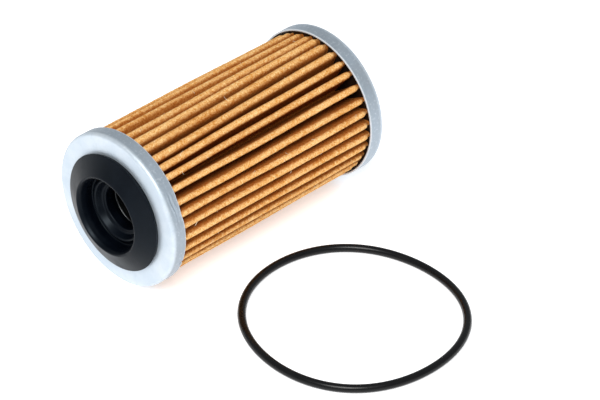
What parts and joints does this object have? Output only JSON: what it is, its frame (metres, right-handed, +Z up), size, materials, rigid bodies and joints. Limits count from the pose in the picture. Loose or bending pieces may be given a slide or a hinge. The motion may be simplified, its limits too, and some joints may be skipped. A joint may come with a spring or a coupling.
{
  "type": "cartridge oil filter",
  "caption": "Pleated paper oil filter cartridge with steel end caps, a rubber seal round its spigot bore, a spring-loaded bypass valve and a loose O-ring.",
  "frame": {"origin": "on the filter's axis, in the middle of the rubber seal's inner land, where the oil spigot is gripped", "axes": "+X along the filter's axis from the seal end to the closed end, +Z up with the filter lying on its rims, the loose O-ring flat on the -Y side"},
  "size_m": [0.0677, 0.0884, 0.036],
  "materials": {
    "zinc_plated_steel": "satin",
    "seal_rubber": "satin",
    "filter_paper": "matte",
    "seam_glue": "satin",
    "tube_steel": "satin",
    "potting_adhesive": "satin",
    "valve_steel": "satin",
    "spring_steel": "gloss",
    "ring_rubber": "satin"
  },
  "bodies": {
    "filter": {"front_end_cap": "zinc_plated_steel", "rear_end_cap": "zinc_plated_steel", "seal_grommet": "seal_rubber", "pleated_paper": "filter_paper", "seam_glue": "seam_glue", "centre_tube": "tube_steel", "front_adhesive": "potting_adhesive", "rear_adhesive": "potting_adhesive", "bypass_cage": "tube_steel", "bypass_spring": "spring_steel"},
    "bypass": {"bypass_valve": "valve_steel", "bypass_facing": "seal_rubber"},
    "o_ring": {"cover_o_ring": "ring_rubber"}
  },
  "joints": [
    {"name": "bypass_open", "type": "slide", "parent": "filter", "child": "bypass", "axis": [-1, 0, 0], "range_m": [0, 0.0025], "stiffness_N_per_m": 1000, "springref_m": -0.003, "deforming": ["bypass_spring"]},
    {"name": "o_ring_lift", "type": "slide", "parent": "filter", "child": "o_ring", "axis": [0, 0, 1], "range_m": [0, 0.04]}
  ]
}
